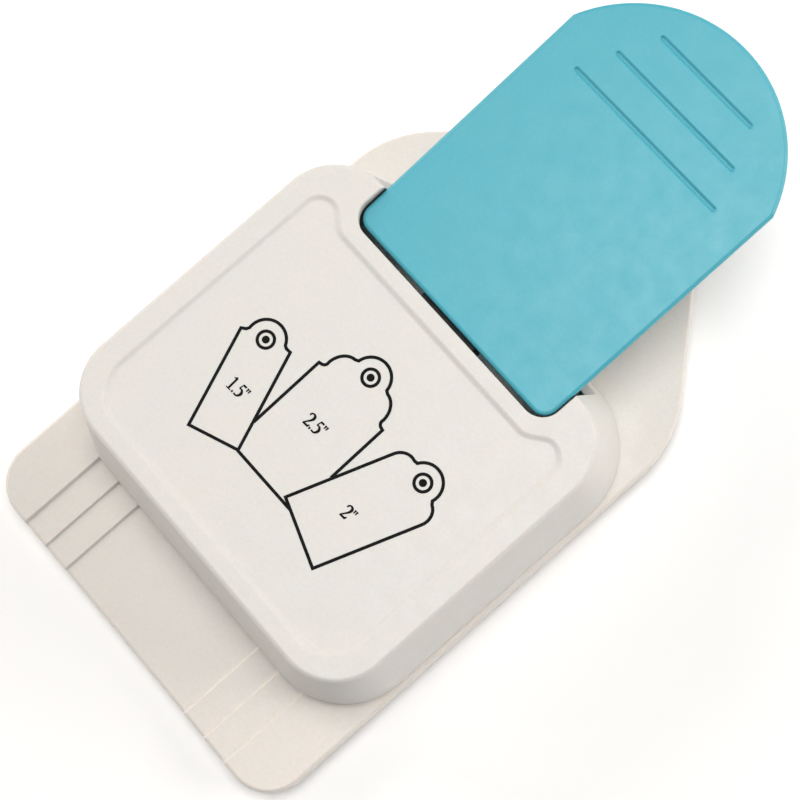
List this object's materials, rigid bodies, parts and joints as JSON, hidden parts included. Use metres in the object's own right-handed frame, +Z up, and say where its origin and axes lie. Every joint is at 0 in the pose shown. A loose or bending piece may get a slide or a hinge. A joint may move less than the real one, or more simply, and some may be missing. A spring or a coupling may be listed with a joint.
{
  "type": "craft punch",
  "caption": "Lever-action paper punch that shapes the end of a paper strip into a tag end with an eyelet hole, with a stepped strip channel and a wide finger lever.",
  "frame": {"origin": "on the table, under the middle of the punch's length and width, with the lever at rest", "axes": "+X to the user's right with the strip channel facing the user, +Y from the channel to the lever's end, +Z up"},
  "size_m": [0.0886, 0.1631, 0.0449],
  "materials": {
    "cream_plastic": "warm off-white moulded plastic with a fine satin grain",
    "teal_plastic": "teal blue moulded plastic with a fine satin grain",
    "rubber": "matt black",
    "nylon": "natural nylon, slightly glossy",
    "steel_sheet": "zinc-plated sheet steel, satin",
    "black_steel": "black-painted sheet steel, satin",
    "tool_steel": "ground tool steel",
    "zinc_screw": "zinc-plated",
    "spring_wire": "drawn spring steel"
  },
  "bodies": {
    "base": {"base_shell": "cream_plastic", "foot_front_left": "rubber", "foot_front_right": "rubber", "foot_rear_left": "rubber", "foot_rear_right": "rubber", "die_plate": "tool_steel", "edge_rail_left": "steel_sheet", "edge_rail_right": "steel_sheet", "guide_plate": "steel_sheet", "die_screw_front_left": "zinc_screw", "die_screw_front_right": "zinc_screw", "die_screw_rear_left": "zinc_screw", "die_screw_rear_right": "zinc_screw", "pivot_bracket": "steel_sheet", "bracket_screw_left": "zinc_screw", "bracket_screw_right": "zinc_screw", "pivot_pin": "tool_steel", "pivot_clip": "spring_wire", "guide_post_left": "tool_steel", "guide_post_right": "tool_steel", "return_spring_left": "spring_wire", "return_spring_right": "spring_wire", "post_clip_left": "spring_wire", "post_clip_right": "spring_wire", "head_shell": "cream_plastic", "head_screw_front_left": "zinc_screw", "head_screw_front_right": "zinc_screw", "head_screw_rear_left": "zinc_screw", "head_screw_rear_right": "zinc_screw"},
    "lever": {"lever_arm": "black_steel", "press_pin": "tool_steel", "lever_cap": "teal_plastic", "cap_screw_front": "zinc_screw", "cap_screw_rear": "zinc_screw"},
    "punch": {"punch_holder": "steel_sheet", "tag_punch": "tool_steel", "eyelet_punch": "tool_steel", "punch_screw_left": "zinc_screw", "punch_screw_right": "zinc_screw", "wear_pad": "nylon"}
  },
  "joints": [
    {"name": "lever_hinge", "type": "hinge", "parent": "base", "child": "lever", "pos_m": [0, -0.04754, 0.027], "axis": [-1, 0, 0], "range_deg": [0, 11], "stiffness_Nm_per_rad": 2.4, "springref_deg": -2.86},
    {"name": "punch_slide", "type": "slide", "parent": "base", "child": "punch", "axis": [0, 0, -1], "range_m": [0, 0.0055], "deforming": ["return_spring_left", "return_spring_right"]}
  ],
  "couplings": [
    {"joint": "punch_slide", "follows": "lever_hinge", "m_per_rad": 0.028}
  ]
}
